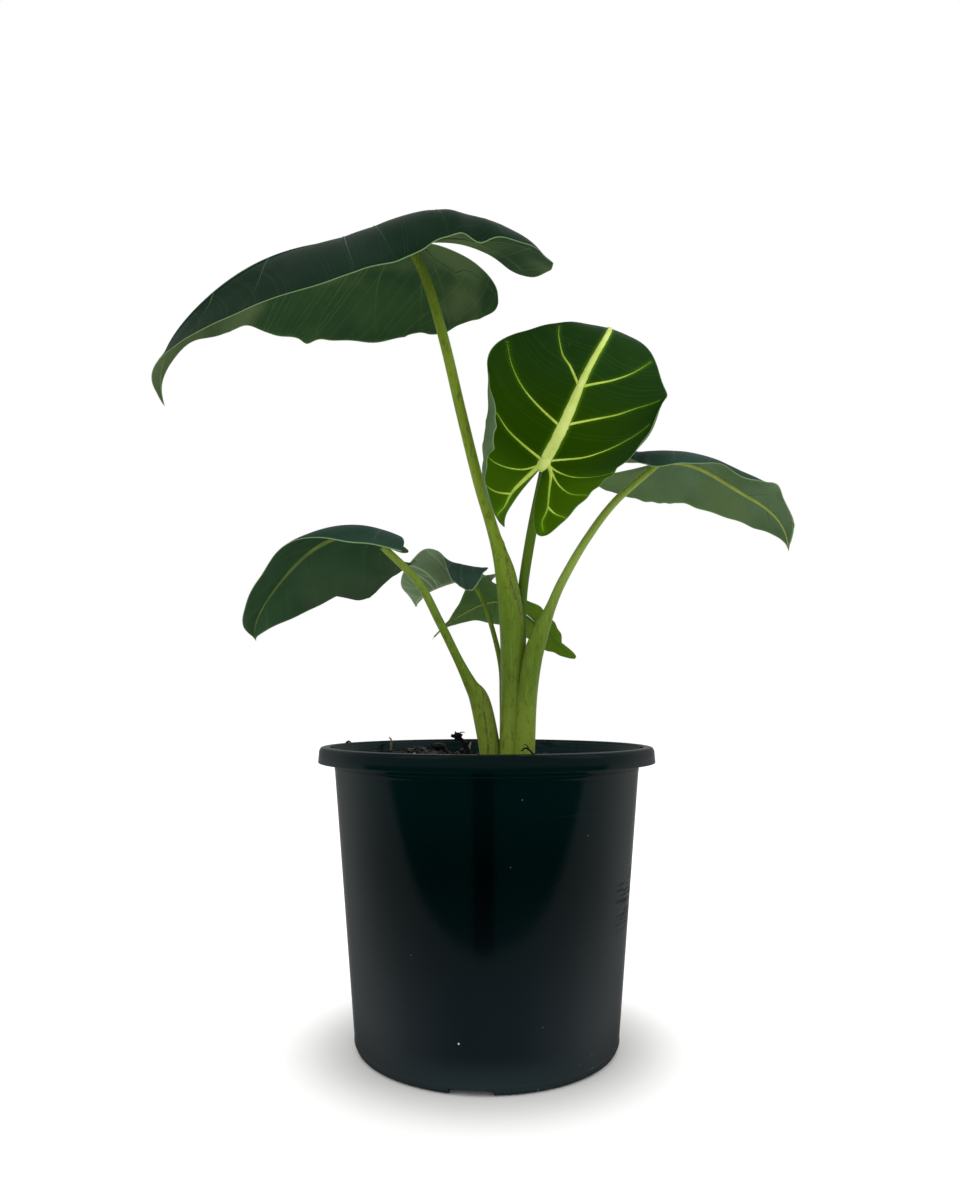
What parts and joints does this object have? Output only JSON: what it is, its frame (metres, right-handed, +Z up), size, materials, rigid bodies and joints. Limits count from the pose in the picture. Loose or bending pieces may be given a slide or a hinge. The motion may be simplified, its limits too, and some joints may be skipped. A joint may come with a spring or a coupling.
{
  "type": "potted frydek alocasia",
  "caption": "Upright aroid house plant with velvety arrow-shaped leaves on sheathed stalks, rooted in bark mix in a round dark nursery pot.",
  "frame": {"origin": "on the pot's axis at the ground, in the centre of the underside's pad", "axes": "+Z up along the pot's axis, -Y towards the front, +X to the right seen from the front"},
  "size_m": [0.391, 0.2194, 0.5056],
  "materials": {
    "pot_plastic": "glossy, green-black, with faint moulding marks and light scratches",
    "mix": "rough, dark bark and peat mix with pale specks",
    "bark": "rough, nearly black bark",
    "root": "matte, pale tan",
    "stalk": "smooth, waxy, yellow-green with fine brown mottling",
    "blade": "velvety dark green above with pale veins, satin olive green below"
  },
  "bodies": {
    "root": {"pot": "pot_plastic", "rootstock": "root", "stalk_tall": "stalk", "stalk_upright": "stalk", "stalk_right": "stalk", "stalk_left": "stalk", "stalk_small": "stalk", "stalk_rear": "stalk", "blade_tall": "blade", "blade_upright": "blade", "blade_right": "blade", "blade_left": "blade", "blade_small": "blade", "blade_rear": "blade", "potting_mix": "mix", "bark_chip_1": "bark", "bark_chip_2": "bark", "bark_chip_3": "bark", "bark_chip_4": "bark", "bark_chip_5": "bark", "bark_chip_6": "bark", "bark_chip_7": "bark", "bark_chip_8": "bark", "bark_chip_standing": "bark", "root_bit_rim": "root", "root_bit_back": "root", "twig_front": "bark"}
  },
  "joints": []
}
